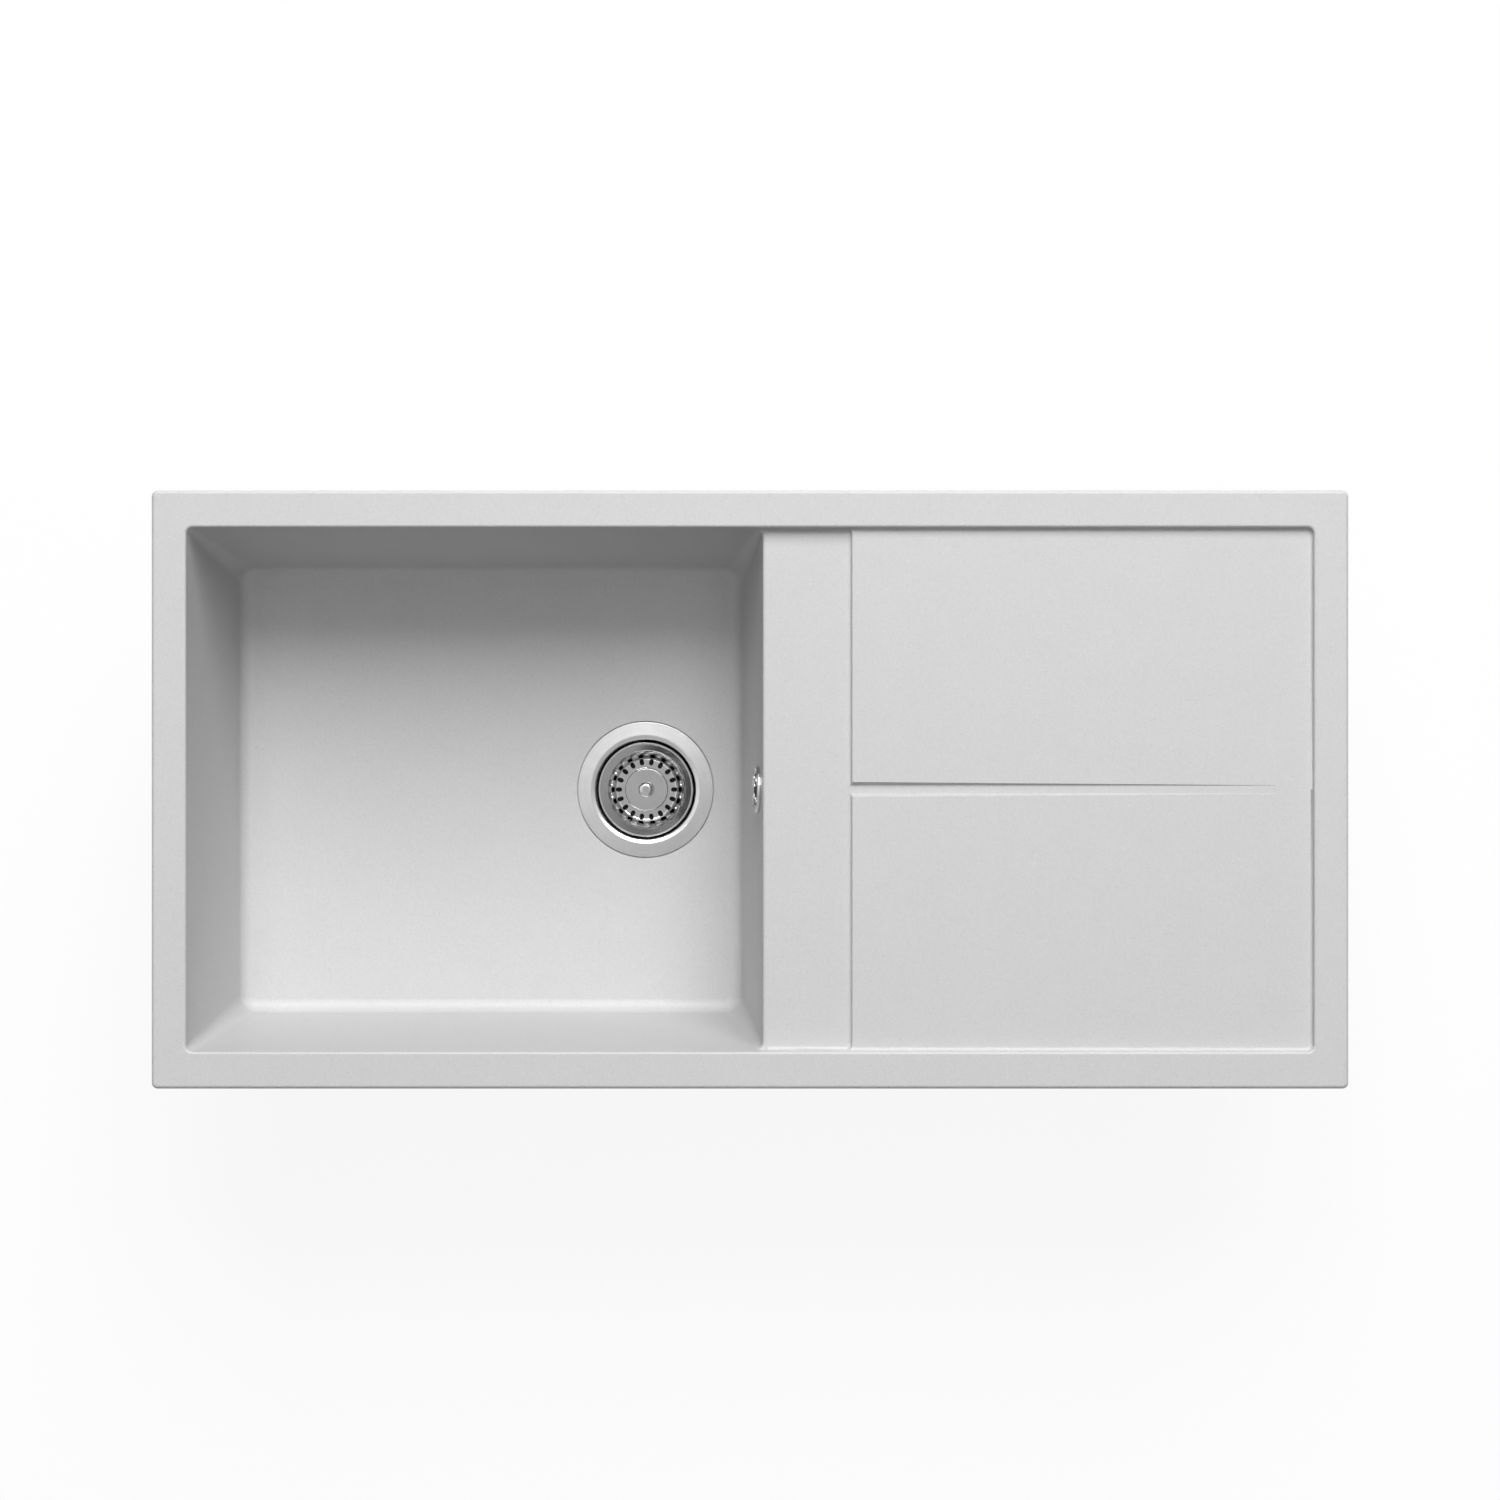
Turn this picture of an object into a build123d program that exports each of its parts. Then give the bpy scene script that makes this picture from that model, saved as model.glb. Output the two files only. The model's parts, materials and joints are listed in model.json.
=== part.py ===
from build123d import *
import math
import os

# Sizes are in millimetres. The worktop's surface is Z = 0 and the middle of the sink is X = Y = 0.
# The drainer points to +X and the rear of the worktop is at +Y.

# Sink body
sink_length = 1000.0
sink_width = 500.0
rim_height = 10.0
rim_end_width = 28.7
rim_side_width = 30.8
outer_corner_radius = 5.0
rim_edge_radius = 3.0
recess_edge_radius = 2.2
recess_corner_radius = 5.5
recess_lip_depth = 2.6
cove_radius = 3.0
seat_overlap = 10.0
cutout_gap = 2.0
plate_depth = 6.0
wall_thickness = 8.5
floor_thickness = 11.0

# Bowl
bowl_length = 483.2
bowl_depth = 200.0
bowl_end_draft = 20.0
bowl_side_draft = 22.5
bowl_corner_bottom = 16.0
bowl_floor_radius = 11.5
nose_radius = 2.5
nose_margin = 1.0

# Bridge, drainer and its tapered groove
bridge_width = 73.5
bridge_drop = 10.5
bridge_corner_radius = 5.0
step_slope = 0.35
drainer_drop = 6.5
groove_end_gap = 31.6
groove_width = 12.8
groove_floor_width = 6.8
groove_end_depth = 0.2
groove_lip = 0.05

# Ribs and tap hole blanks under the drainer and the bridge
rib_thickness = 6.0
rib_depth = 8.0
long_rib_count = 2
cross_rib_count = 2
tap_blank_radius = 17.5
tap_blank_depth = 3.5
tap_blank_offset = 120.0

# Seal in a groove under the rim
seal_inset = 2.5
seal_width = 5.0
seal_depth = 2.5
seal_clearance = 0.1

# Strainer cup with its flange, on the drain's axis
drain_offset = 104.7
drain_hole_radius = 46.5
flange_radius = 60.0
flange_edge_height = 0.4
flange_crest_radius = 48.0
flange_crest_height = 1.5
flange_crest_rounding = 2.5
flange_lip_drop = 1.1
flange_lip_rounding = 1.2
flange_recess_clearance = 1.0
flange_recess_depth = 2.0
throat_radius = 44.5
cup_wall = 1.0
cup_depth = 47.0
cup_plate = 1.2
cup_floor_radius = 5.0
cup_well_radius = 10.0
cup_well_depth = 4.0
cup_well_rounding = 0.6
cup_hole_radius = 5.0
cup_hole_circle = 22.0
cup_hole_count = 8
flange_gasket_thickness = 1.5
lower_gasket_thickness = 3.0
gasket_inset = 0.5
sheet_edge_radius = 0.3

# Basket, which lifts out of the strainer cup
basket_radius = 42.0
basket_wall = 0.8
basket_rim_width = 1.0
basket_drop = 5.0
basket_depth = 28.0
basket_floor_radius = 28.5
basket_floor_rounding = 3.0
basket_disc_radius = 19.0
basket_disc_rise = 1.2
basket_disc_step = 1.0
basket_disc_rounding = 0.4
basket_hole_count = 18
basket_hole_circle = 24.8
basket_hole_length = 5.7
basket_hole_width = 3.9
basket_slot_width = 6.0
basket_slot_low = 6.5
basket_slot_high = 14.0
stem_radius = 4.0
stem_top_radius = 3.0
stem_collar_radius = 8.0
stem_edge_radius = 0.5
stopper_radius = 30.0
stopper_lip_width = 2.5
stopper_web = 3.0
stopper_height = 6.7
stopper_taper = 1.0
stopper_top_rounding = 1.5
stopper_lip_rounding = 0.8
stem_nut_radius = 7.0
stem_nut_height = 3.3
knob_radius = 6.5
knob_neck_radius = 4.6
knob_flat_radius = 4.3
knob_drop = 4.0
knob_head_height = 8.0
knob_foot_flare = 0.8
knob_foot_height = 4.0
knob_waist_rounding = 1.5
knob_bevel = 1.5
knob_edge_rounding = 1.0
knob_top_rounding = 5.0
turn_gap = 0.2
seat_gap = 0.3
thread_clearance = 0.05

# Waste housing under the floor, clamped to the strainer cup
housing_flange_radius = 56.0
housing_flange_height = 4.0
housing_radius = 50.0
housing_wall = 2.5
housing_depth = 72.0
housing_shoulder_radius = 6.0
housing_edge_radius = 1.0
funnel_height = 14.0
outlet_radius = 23.9
outlet_wall = 3.9
waste_depth = 110.0
thread_pitch = 2.309
thread_depth = 1.48
thread_land = 0.9
thread_count = 9
spigot_drop = 58.0
spigot_length = 12.8
spigot_radius = 11.0
hose_bore_radius = 8.5
clamp_boss_radius = 9.0
clamp_boss_gap = 2.0
clamp_boss_height = 14.0
clamp_rib_thickness = 3.0
clamp_rib_height = 8.0
clamp_rib_count = 4
insert_radius = 6.0
clamp_screw_radius = 4.0
clamp_screw_length = 14.0
clamp_head_radius = 7.0
clamp_head_height = 3.2
screw_slot_width = 1.6
screw_slot_depth = 1.4

# Overflow on the bowl's drainer wall
overflow_drop = 45.0
overflow_hole_radius = 15.0
rosette_radius = 20.0
rosette_edge = 3.0
rosette_edge_rounding = 1.8
rosette_height = 5.2
rosette_crown_radius = 9.0
rosette_crown_rounding = 2.5
rosette_skin = 1.5
rosette_hole_count = 10
rosette_hole_radius = 2.3
rosette_hole_circle = 13.8
overflow_screw_radius = 2.5
overflow_head_radius = 5.0
overflow_head_height = 2.0
overflow_screw_length = 48.0
overflow_boss_radius = 5.0
overflow_boss_length = 18.0
elbow_flange_radius = 24.0
elbow_flange_thickness = 4.0
elbow_leg_radius = 15.0
elbow_wall = 2.5
elbow_end_radius = 4.0
overflow_gasket_thickness = 2.0
hose_offset = 40.1
overflow_spigot_drop = 45.0

# Ribbed hose from the overflow to the waste housing
hose_crest_radius = 12.5
hose_valley_radius = 10.3
hose_rib_pitch = 5.0
hose_rib_shares = (0.10, 0.35, 0.55, 0.90)
hose_nut_radius = 15.5
hose_nut_length = 18.0
hose_nut_grip_count = 12
hose_nut_grip_radius = 1.3
hose_nut_edge_radius = 0.8

# Fixing clips along the front and the rear
clip_count = 4
clip_end_gap = 95.0
clip_shift = 5.0
clip_edge_gap = 0.5
clip_boss_radius = 5.5
clip_boss_depth = 18.0
dowel_radius = 3.5
dowel_length = 15.0
clip_screw_radius = 2.2
clip_screw_grip = 4.0
clip_head_radius = 4.5
clip_head_height = 3.0
claw_drop = 12.0
claw_width = 10.0
claw_thickness = 2.0
claw_arm = 34.0
claw_bend_run = 8.0
claw_tooth_rise = 4.8
claw_tooth_height = 2.4
claw_tooth_notch = 2.0
claw_hole_clearance = 0.3

# How far a cutter runs past the face that it opens
overcut = 4.0

# Share of a half width that a rounding may fill
round_share = 0.9

# Heights and edges that follow from the sizes above
rim_top = rim_height
lip_bottom = rim_top - recess_lip_depth
floor_top = rim_top - bowl_depth
floor_bottom = floor_top - floor_thickness
bridge_top = rim_top - bridge_drop
drainer_top = rim_top - drainer_drop
plate_bottom = -plate_depth
recess_half_x = sink_length / 2 - rim_end_width
recess_half_y = sink_width / 2 - rim_side_width
plate_half_x = sink_length / 2 - seat_overlap - cutout_gap
plate_half_y = sink_width / 2 - seat_overlap - cutout_gap
end_slope = bowl_end_draft / bowl_depth
side_slope = bowl_side_draft / bowl_depth
bowl_left = -recess_half_x
bowl_right = bowl_left + bowl_length
nose_x = bowl_right - end_slope * bridge_drop
nose_end = nose_x + nose_radius + nose_margin
step_x = nose_x + bridge_width
drainer_length = recess_half_x - step_x
groove_length = drainer_length - groove_end_gap
drain_x = bowl_right - drain_offset
floor_radius = min(bowl_floor_radius, round_share * bowl_corner_bottom)

# Stack of the waste, from the floor down
flange_bottom = floor_top - flange_recess_depth + flange_gasket_thickness
cup_top = floor_top - cup_depth
cup_well_top = cup_top - cup_well_depth
housing_top = floor_bottom - lower_gasket_thickness
housing_bottom = floor_top - housing_depth
outlet_top = housing_bottom - funnel_height
waste_bottom = floor_top - waste_depth
housing_inner = housing_radius - housing_wall
outlet_inner = outlet_radius - outlet_wall
clamp_boss_top = cup_well_top - cup_plate - clamp_boss_gap
spigot_z = floor_top - spigot_drop
spigot_end = drain_x + housing_radius + spigot_length

# Stack of the basket, from the strainer cup's plate up
basket_top = floor_top - basket_drop
basket_bottom = basket_top - basket_depth
disc_bottom = basket_bottom + basket_disc_rise
stopper_bottom = cup_top + seat_gap
stopper_top = stopper_bottom + stopper_height
stopper_web_bottom = stopper_top - stopper_web
collar_top = disc_bottom - turn_gap
knob_bottom = disc_bottom + basket_wall + turn_gap
knob_top = floor_top - knob_drop

# The overflow's own plane on the bowl's wall, with its normal into the bowl
wall_tilt = math.atan(end_slope)
overflow_z = rim_top - overflow_drop
overflow_x = bowl_right - end_slope * overflow_drop
overflow_plane = Plane(
    origin=(overflow_x, 0, overflow_z),
    x_dir=(0, 1, 0),
    z_dir=(-math.cos(wall_tilt), 0, math.sin(wall_tilt)),
)
wall_outside = -wall_thickness * math.cos(wall_tilt)
elbow_face = wall_outside - overflow_gasket_thickness
hose_x = bowl_right + hose_offset
hose_top = overflow_z - overflow_spigot_drop
elbow_end = -(hose_x - overflow_x + elbow_leg_radius)

# Course of the hose: straight down from the elbow, a quarter bend, and straight onto the housing's spigot
hose_smooth_end = 2 * hose_crest_radius
hose_bend = hose_x - spigot_end - hose_smooth_end
hose_drop = hose_top - spigot_z - hose_bend
hose_arc = hose_bend * math.pi / 2
hose_length = hose_drop + hose_arc + hose_smooth_end

# Clips: the screw's line, and the claw's rest height under its boss
clip_y = plate_half_y - clip_edge_gap - clip_boss_radius
clip_spacing = (sink_length - 2 * clip_end_gap) / (clip_count - 1)
clip_boss_bottom = plate_bottom - clip_boss_depth
claw_top = clip_boss_bottom - claw_drop
claw_bottom = claw_top - claw_thickness
clip_head_top = claw_bottom - seat_gap


def turned(*corners):
    """Solid of revolution about Z, from corners of radius, height and rounding."""
    points = [(radius, height) for radius, height, rounding in corners]
    outline = FilletPolyline(*points, radius=[corner[2] for corner in corners], close=True)
    return revolve(Plane.XZ * make_face(outline), Axis.Z)


def ring(outer, inner, bottom, top):
    """Plain ring about Z."""
    return turned((outer, bottom, 0), (outer, top, 0), (inner, top, 0), (inner, bottom, 0))


def disc(radius, bottom, top):
    """Plain cylinder about Z."""
    return Pos(0, 0, bottom) * Cylinder(radius, top - bottom, align=(Align.CENTER, Align.CENTER, Align.MIN))


def block(x0, x1, y0, y1, z0, z1):
    """Box between two corners."""
    return Pos((x0 + x1) / 2, (y0 + y1) / 2, (z0 + z1) / 2) * Box(x1 - x0, y1 - y0, z1 - z0)


def level_edges(shape, z):
    """Edges of a shape that lie in one level plane."""
    near = 1e-3
    boxes = [(edge, edge.bounding_box()) for edge in shape.edges()]
    return [edge for edge, box in boxes if abs(box.min.Z - z) < near and abs(box.max.Z - z) < near]


def around(count, first=0.0):
    """Turns about Z that spread copies evenly over a circle."""
    return [Rot(0, 0, first + 360.0 * index / count) for index in range(count)]


def half_width(z):
    """Distance from the centre line to the recess's front or rear wall at a height."""
    return recess_half_y - side_slope * (rim_top - z)


def rounded_section(z, x0, x1, half_y, radius):
    """Rounded rectangle in a level plane."""
    return Plane.XY.offset(z) * (Pos((x0 + x1) / 2, 0) * RectangleRounded(x1 - x0, 2 * half_y, radius))


def drafted_section(z, x0, x1, skin=0.0):
    """Outline between drafted walls that start at x0 and x1 on the rim's top, grown by a skin."""
    depth = rim_top - z
    inset = end_slope * depth - skin
    radius = recess_corner_radius + (bowl_corner_bottom - recess_corner_radius) * depth / bowl_depth
    return rounded_section(z, x0 + inset, x1 - inset, half_width(z) + skin, radius + skin)


def bowl_block(bottom, top, skin=0.0):
    """The bowl's drafted form with its rounded floor edge."""
    sections = [drafted_section(z, bowl_left, bowl_right, skin) for z in (bottom, top)]
    form = loft(sections, ruled=True)
    return fillet(level_edges(form, bottom), floor_radius + skin)


def lip_cutter():
    """The upper few millimetres of the recess, over the bowl, the bridge and the drainer."""
    sections = [drafted_section(z, -recess_half_x, recess_half_x) for z in (lip_bottom, rim_top)]
    return loft(sections, ruled=True)


def wall_outside_block(side):
    """Everything beyond the recess's front or rear wall plane."""
    low = floor_top - overcut
    high = rim_top + overcut
    corners = [(half_width(low), low), (half_width(high), high), (sink_width, high), (sink_width, low)]
    face = make_face(Polyline(*[(side * y, z) for y, z in corners], close=True))
    return extrude(Plane.YZ.offset(-sink_length) * face, 2 * sink_length)


def bowl_cutter():
    """The bowl's inside, with its rounded edge where it opens onto the bridge."""
    cutter = bowl_block(floor_top, lip_bottom)
    slab_start = nose_x - bowl_corner_bottom
    cutter += block(slab_start, nose_end, -sink_width / 2, sink_width / 2, bridge_top, lip_bottom)
    inside = half_width(bridge_top) + nose_radius
    edges = [
        edge
        for edge in level_edges(cutter, bridge_top)
        if abs(edge.center().Y) < inside and slab_start < edge.center().X < nose_end - nose_radius / 4
    ]
    cutter = fillet(edges, nose_radius)
    return cutter - wall_outside_block(1) - wall_outside_block(-1)


def bridge_pocket():
    """The bridge's recess, with a cove along its foot."""
    start = nose_x - bowl_corner_bottom
    sections = []
    for z in (bridge_top, lip_bottom):
        end = step_x + step_slope * (z - bridge_top)
        sections.append(rounded_section(z, start, end, half_width(z), bridge_corner_radius))
    return fillet(level_edges(loft(sections, ruled=True), bridge_top), cove_radius)


def drainer_pocket():
    """The drainer's recess, with a cove along its foot."""
    start = step_x - bridge_corner_radius - recess_corner_radius - overcut
    sections = [drafted_section(z, start, recess_half_x) for z in (drainer_top, lip_bottom)]
    return fillet(level_edges(loft(sections, ruled=True), drainer_top), cove_radius)


def groove_cutter():
    """Groove that falls from the drainer's end to the bridge and widens on the way."""
    start = step_x - cove_radius - overcut
    side = (groove_width - groove_floor_width) / 2 / (drainer_top - bridge_top)
    sections = []
    half_floor = groove_floor_width / 2
    high = drainer_top + overcut
    for x, floor_z in (
        (start, bridge_top + groove_lip),
        (step_x + groove_length, drainer_top - groove_end_depth),
    ):
        spread = half_floor + side * (high - floor_z)
        corners = [(-half_floor, floor_z), (half_floor, floor_z), (spread, high), (-spread, high)]
        sections.append(Plane.YZ.offset(x) * make_face(Polyline(*corners, close=True)))
    return loft(sections, ruled=True)


def clip_places():
    """Name, X and side of every clip, front ones first."""
    places = []
    for side, word in ((-1, "front"), (1, "rear")):
        for index in range(clip_count):
            x = (index - (clip_count - 1) / 2) * clip_spacing + clip_shift
            places.append((f"{word}_{index + 1}", x, side))
    return places


def drainer_ribs():
    """Skirt below the drainer's edge, with ribs along and across it."""
    low = plate_bottom - rib_depth
    skirt_x = recess_half_x + rib_thickness / 2
    skirt_y = recess_half_y + rib_thickness / 2
    ribs = block(nose_x, skirt_x, -skirt_y, skirt_y, low, plate_bottom)
    inner_x = skirt_x - rib_thickness
    inner_y = skirt_y - rib_thickness
    ribs -= block(nose_x - overcut, inner_x, -inner_y, inner_y, low - overcut, plate_bottom + overcut)
    half_rib = rib_thickness / 2
    for index in range(long_rib_count):
        y = (index + 1) * 2 * skirt_y / (long_rib_count + 1) - skirt_y
        ribs += block(nose_x, inner_x, y - half_rib, y + half_rib, low, plate_bottom)
    for index in range(cross_rib_count):
        x = step_x + (index + 1) * drainer_length / (cross_rib_count + 1)
        ribs += block(x - half_rib, x + half_rib, -inner_y, inner_y, low, plate_bottom)
    return ribs


def rim_frame(inset, width, bottom, top):
    """Rectangular ring that follows the rim's edge."""
    radius = max(outer_corner_radius - inset, outer_corner_radius / 4)
    outer = RectangleRounded(sink_length - 2 * inset, sink_width - 2 * inset, radius)
    inner = Rectangle(sink_length - 2 * (inset + width), sink_width - 2 * (inset + width))
    return extrude(Plane.XY.offset(bottom) * (outer - inner), top - bottom)


def sink_body():
    """The granite moulding."""
    rim = extrude(RectangleRounded(sink_length, sink_width, outer_corner_radius), rim_height)
    body = fillet(level_edges(rim, rim_top), rim_edge_radius)
    plate = RectangleRounded(2 * plate_half_x, 2 * plate_half_y, outer_corner_radius)
    body += extrude(Plane.XY.offset(plate_bottom) * plate, plate_depth)
    body += bowl_block(floor_bottom, 0, wall_thickness)
    body += drainer_ribs()
    for name, x, side in clip_places():
        body += Pos(x, side * clip_y) * disc(clip_boss_radius, clip_boss_bottom, 0)
    body -= lip_cutter()
    body = fillet([edge for edge in level_edges(body, rim_top) if is_recess_edge(edge)], recess_edge_radius)
    for cutter in (bowl_cutter(), bridge_pocket(), drainer_pocket(), groove_cutter()):
        body -= cutter
    drain = Pos(drain_x, 0)
    body -= drain * disc(drain_hole_radius, floor_bottom - overcut, floor_top + overcut)
    recess_radius = flange_radius + flange_recess_clearance
    body -= drain * disc(recess_radius, floor_top - flange_recess_depth, floor_top + overcut)
    body -= overflow_plane * disc(overflow_hole_radius, wall_outside - overcut, overcut)
    for name, x, side in clip_places():
        hole_top = clip_boss_bottom + dowel_length
        body -= Pos(x, side * clip_y) * disc(dowel_radius, clip_boss_bottom - overcut, hole_top)
    for side in (-1, 1):
        blank = disc(tap_blank_radius, plate_bottom - overcut, plate_bottom + tap_blank_depth)
        body -= Pos((nose_x + step_x) / 2, side * tap_blank_offset) * blank
    return body - rim_frame(seal_inset, seal_width, -overcut, seal_depth)


def is_recess_edge(edge):
    """Whether an edge of the rim's top face runs round the recess and not round the outside."""
    centre = edge.center()
    inside_x = sink_length / 2 - rim_end_width / 2
    inside_y = sink_width / 2 - rim_side_width / 2
    return abs(centre.X) < inside_x and abs(centre.Y) < inside_y


def rim_seal():
    """Strip that fills the groove under the rim."""
    inset = seal_inset + seal_clearance
    return rim_frame(inset, seal_width - 2 * seal_clearance, 0, seal_depth)


def strainer_cup():
    """Drawn steel cup with its flange, a well for the clamp screw and a ring of drain holes."""
    outside = throat_radius + cup_wall
    well_out = cup_well_radius + cup_plate
    hole = clamp_screw_radius + seat_gap
    crest = floor_top + flange_crest_height
    cup = turned(
        (flange_radius, flange_bottom, 0),
        (flange_radius, floor_top + flange_edge_height, sheet_edge_radius),
        (flange_crest_radius, crest, flange_crest_rounding),
        (throat_radius, crest - flange_lip_drop, flange_lip_rounding),
        (throat_radius, cup_top, cup_floor_radius),
        (cup_well_radius, cup_top, cup_well_rounding),
        (cup_well_radius, cup_well_top, cup_well_rounding),
        (hole, cup_well_top, 0),
        (hole, cup_well_top - cup_plate, 0),
        (well_out, cup_well_top - cup_plate, cup_well_rounding),
        (well_out, cup_top - cup_plate, cup_well_rounding),
        (outside, cup_top - cup_plate, cup_floor_radius + cup_wall),
        (outside, flange_bottom, 0),
    )
    for turn in around(cup_hole_count):
        low = cup_top - cup_plate - overcut
        cup -= turn * (Pos(cup_hole_circle, 0) * disc(cup_hole_radius, low, cup_top + overcut))
    return Pos(drain_x, 0) * cup


def flange_gasket():
    """Ring between the strainer's flange and the floor's recess."""
    inner = drain_hole_radius + flange_recess_clearance
    low = floor_top - flange_recess_depth
    return Pos(drain_x, 0) * ring(flange_radius - gasket_inset, inner, low, flange_bottom)


def lower_gasket():
    """Ring between the floor's underside and the waste housing."""
    inner = drain_hole_radius + flange_recess_clearance
    return Pos(drain_x, 0) * ring(housing_flange_radius - gasket_inset, inner, housing_top, floor_bottom)


def outlet_thread_grooves():
    """Ring-shaped gaps between the crests of the outlet's pipe thread."""
    root = outlet_radius - thread_depth
    beyond = outlet_radius + thread_depth
    half_land = thread_land / 2
    grooves = []
    for index in range(thread_count):
        middle = waste_bottom + half_land + (index + 0.5) * thread_pitch
        open_half = thread_pitch / 2 - half_land
        groove = turned(
            (root, middle, 0),
            (outlet_radius, middle + open_half, 0),
            (beyond, middle + open_half, 0),
            (beyond, middle - open_half, 0),
            (outlet_radius, middle - open_half, 0),
        )
        grooves.append(groove)
    return grooves


def waste_housing():
    """Plastic funnel with its clamp boss, threaded outlet and overflow spigot."""
    flange_low = housing_top - housing_flange_height
    housing = turned(
        (housing_flange_radius, housing_top, 0),
        (housing_flange_radius, flange_low, housing_edge_radius),
        (housing_radius, flange_low, housing_edge_radius),
        (housing_radius, housing_bottom, housing_shoulder_radius),
        (outlet_radius, outlet_top, housing_edge_radius),
        (outlet_radius, waste_bottom, 0),
        (outlet_inner, waste_bottom, 0),
        (outlet_inner, outlet_top + housing_wall, housing_edge_radius + housing_wall),
        (housing_inner, housing_bottom + housing_wall, housing_shoulder_radius - housing_wall),
        (housing_inner, housing_top, 0),
    )
    for groove in outlet_thread_grooves():
        housing -= groove
    boss_bottom = clamp_boss_top - clamp_boss_height
    housing += disc(clamp_boss_radius, boss_bottom, clamp_boss_top)
    half_rib = clamp_rib_thickness / 2
    reach = housing_inner + housing_wall / 2
    rib = block(0, reach, -half_rib, half_rib, boss_bottom, boss_bottom + clamp_rib_height)
    for turn in around(clamp_rib_count, 180.0 / clamp_rib_count):
        housing += turn * rib
    tube = Plane(origin=(0, 0, spigot_z), x_dir=(0, 1, 0), z_dir=(1, 0, 0))
    tube_end = housing_radius + spigot_length
    housing += tube * disc(spigot_radius, housing_inner + housing_wall / 2, tube_end)
    housing -= tube * disc(hose_bore_radius, housing_inner - overcut, tube_end + overcut)
    housing -= disc(insert_radius, boss_bottom - overcut, clamp_boss_top + overcut)
    return Pos(drain_x, 0) * housing


def clamp_insert():
    """Brass bush in the housing's boss."""
    low = clamp_boss_top - clamp_boss_height
    bore = clamp_screw_radius + thread_clearance
    return Pos(drain_x, 0) * ring(insert_radius - thread_clearance, bore, low, clamp_boss_top)


def slotted_head(head_radius, bottom, height):
    """Screw head with a rounded top edge and a slot across it."""
    top = bottom + height
    head = turned(
        (0, bottom, 0),
        (head_radius, bottom, 0),
        (head_radius, top, height / 3),
        (0, top, 0),
    )
    half_slot = screw_slot_width / 2
    slot_bottom = top - screw_slot_depth
    return head - block(-head_radius, head_radius, -half_slot, half_slot, slot_bottom, top + overcut)


def clamp_screw():
    """Screw that pulls the housing up to the strainer cup."""
    screw = slotted_head(clamp_head_radius, cup_well_top, clamp_head_height)
    low = clamp_boss_top - clamp_screw_length
    return Pos(drain_x, 0) * (screw + disc(clamp_screw_radius, low, cup_well_top))


def basket_cup():
    """Perforated basket with side slots, a ring of floor holes and a raised middle."""
    wall_top = basket_radius - basket_rim_width
    half_step = basket_disc_step / 2
    slant = math.hypot(wall_top - basket_floor_radius, basket_depth) / basket_depth
    skin = basket_wall * slant
    slope = (wall_top - basket_floor_radius) / (basket_depth - basket_wall)
    inner_floor = basket_floor_radius - skin + slope * basket_wall
    cup = turned(
        (basket_radius, basket_top, sheet_edge_radius),
        (basket_radius, basket_top - basket_wall, sheet_edge_radius),
        (wall_top, basket_top - basket_wall, 0),
        (basket_floor_radius, basket_bottom, basket_floor_rounding + basket_wall),
        (basket_disc_radius + half_step, basket_bottom, basket_disc_rounding),
        (basket_disc_radius - half_step, disc_bottom, basket_disc_rounding),
        (stem_radius + turn_gap, disc_bottom, 0),
        (stem_radius + turn_gap, disc_bottom + basket_wall, 0),
        (basket_disc_radius - half_step, disc_bottom + basket_wall, basket_disc_rounding),
        (basket_disc_radius + half_step, basket_bottom + basket_wall, basket_disc_rounding),
        (inner_floor, basket_bottom + basket_wall, basket_floor_rounding),
        (inner_floor + slope * (basket_depth - basket_wall), basket_top, 0),
    )
    hole = extrude(SlotOverall(basket_hole_length, basket_hole_width), 2 * overcut, both=True)
    for turn in around(basket_hole_count):
        cup -= turn * (Pos(basket_hole_circle, 0, basket_bottom) * hole)
    half_slot = basket_slot_width / 2
    low = basket_bottom + basket_slot_low
    high = basket_bottom + basket_slot_high
    slot = block(basket_disc_radius, basket_radius, -half_slot, half_slot, low, high)
    slot = fillet(slot.edges().filter_by(Axis.X), round_share * half_slot)
    for turn in around(basket_hole_count, 180.0 / basket_hole_count):
        cup -= turn * slot
    return Pos(drain_x, 0) * cup


def basket_stem():
    """Rod with the collar that carries the basket, threaded at both ends."""
    low = stopper_web_bottom - stem_nut_height - turn_gap
    top = knob_top - knob_head_height / 2
    stem = turned(
        (0, low, 0),
        (stem_radius, low, stem_edge_radius),
        (stem_radius, stopper_top, 0),
        (stem_collar_radius, stopper_top, stem_edge_radius),
        (stem_collar_radius, collar_top, stem_edge_radius),
        (stem_radius, collar_top, 0),
        (stem_radius, knob_bottom, 0),
        (stem_top_radius, knob_bottom, 0),
        (stem_top_radius, top, stem_edge_radius),
        (0, top, 0),
    )
    return Pos(drain_x, 0) * stem


def basket_stopper():
    """Rubber plate whose lip closes on the strainer cup round the drain holes."""
    bore = stem_radius + thread_clearance
    inside = stopper_radius - stopper_lip_width
    stopper = turned(
        (stopper_radius, stopper_bottom, stopper_lip_rounding),
        (stopper_radius - stopper_taper, stopper_top, stopper_top_rounding),
        (bore, stopper_top, 0),
        (bore, stopper_web_bottom, 0),
        (inside, stopper_web_bottom, stopper_lip_rounding),
        (inside, stopper_bottom, stopper_lip_rounding),
    )
    return Pos(drain_x, 0) * stopper


def stem_nut():
    """Hexagon nut under the stopper."""
    low = stopper_web_bottom - stem_nut_height
    nut = extrude(Plane.XY.offset(low) * RegularPolygon(stem_nut_radius, 6), stem_nut_height)
    return Pos(drain_x, 0) * (nut - disc(stem_radius + thread_clearance, low - overcut, low + 2 * overcut))


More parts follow.
